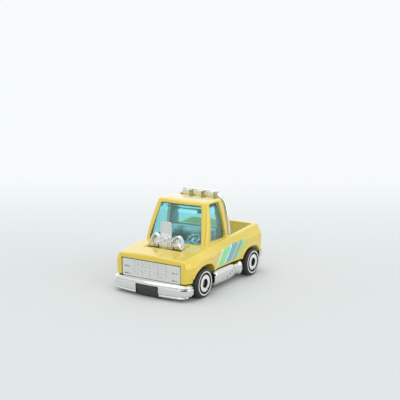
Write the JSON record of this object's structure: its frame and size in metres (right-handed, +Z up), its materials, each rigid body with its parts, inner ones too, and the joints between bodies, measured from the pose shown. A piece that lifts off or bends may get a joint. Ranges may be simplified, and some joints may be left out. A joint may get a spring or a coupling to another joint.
{
  "type": "toy pickup truck",
  "caption": "Short, wide toy pickup truck with a die-cast shell, tinted windows, plated engine through the hood, roll bar over the open bed and free-rolling wheels on wire axles.",
  "frame": {"origin": "centre of the bounding box, on the ground under the wheels", "axes": "+Z up, -Y towards the nose, +X towards the truck's left side"},
  "size_m": [0.0346, 0.0556, 0.0334],
  "materials": {
    "enamel": "glossy pale yellow enamel on a zinc casting",
    "tinted_clear": "clear moulding tinted blue-green, polished",
    "plating": "bright vacuum plating on a plastic moulding",
    "base_plastic": "black moulding with a fine satin texture",
    "wheel_plastic": "black moulding with two white printed rings",
    "axle_steel": "drawn steel wire with headed ends"
  },
  "bodies": {
    "truck": {"body_shell": "enamel", "window_insert": "tinted_clear", "interior_tub": "plating", "engine": "plating", "roll_bar": "plating", "grille_panel": "plating", "front_bumper": "plating", "rear_bumper": "plating", "side_pipe_left": "plating", "side_pipe_right": "plating", "chassis_base": "base_plastic"},
    "front_axle": {"axle_front": "axle_steel"},
    "rear_axle": {"axle_rear": "axle_steel"},
    "front_left_wheel": {"wheel_front_left": "wheel_plastic"},
    "front_right_wheel": {"wheel_front_right": "wheel_plastic"},
    "rear_left_wheel": {"wheel_rear_left": "wheel_plastic"},
    "rear_right_wheel": {"wheel_rear_right": "wheel_plastic"}
  },
  "joints": [
    {"name": "front_axle_turn", "type": "hinge", "parent": "truck", "child": "front_axle", "pos_m": [0, -0.0166, 0.00525], "axis": [1, 0, 0], "continuous": true},
    {"name": "rear_axle_turn", "type": "hinge", "parent": "truck", "child": "rear_axle", "pos_m": [0, 0.0177, 0.00525], "axis": [1, 0, 0], "continuous": true},
    {"name": "front_left_wheel_roll", "type": "hinge", "parent": "front_axle", "child": "front_left_wheel", "pos_m": [0.0152, -0.0166, 0.00525], "axis": [1, 0, 0], "continuous": true},
    {"name": "front_right_wheel_roll", "type": "hinge", "parent": "front_axle", "child": "front_right_wheel", "pos_m": [-0.0152, -0.0166, 0.00525], "axis": [1, 0, 0], "continuous": true},
    {"name": "rear_left_wheel_roll", "type": "hinge", "parent": "rear_axle", "child": "rear_left_wheel", "pos_m": [0.0152, 0.0177, 0.00525], "axis": [1, 0, 0], "continuous": true},
    {"name": "rear_right_wheel_roll", "type": "hinge", "parent": "rear_axle", "child": "rear_right_wheel", "pos_m": [-0.0152, 0.0177, 0.00525], "axis": [1, 0, 0], "continuous": true}
  ]
}
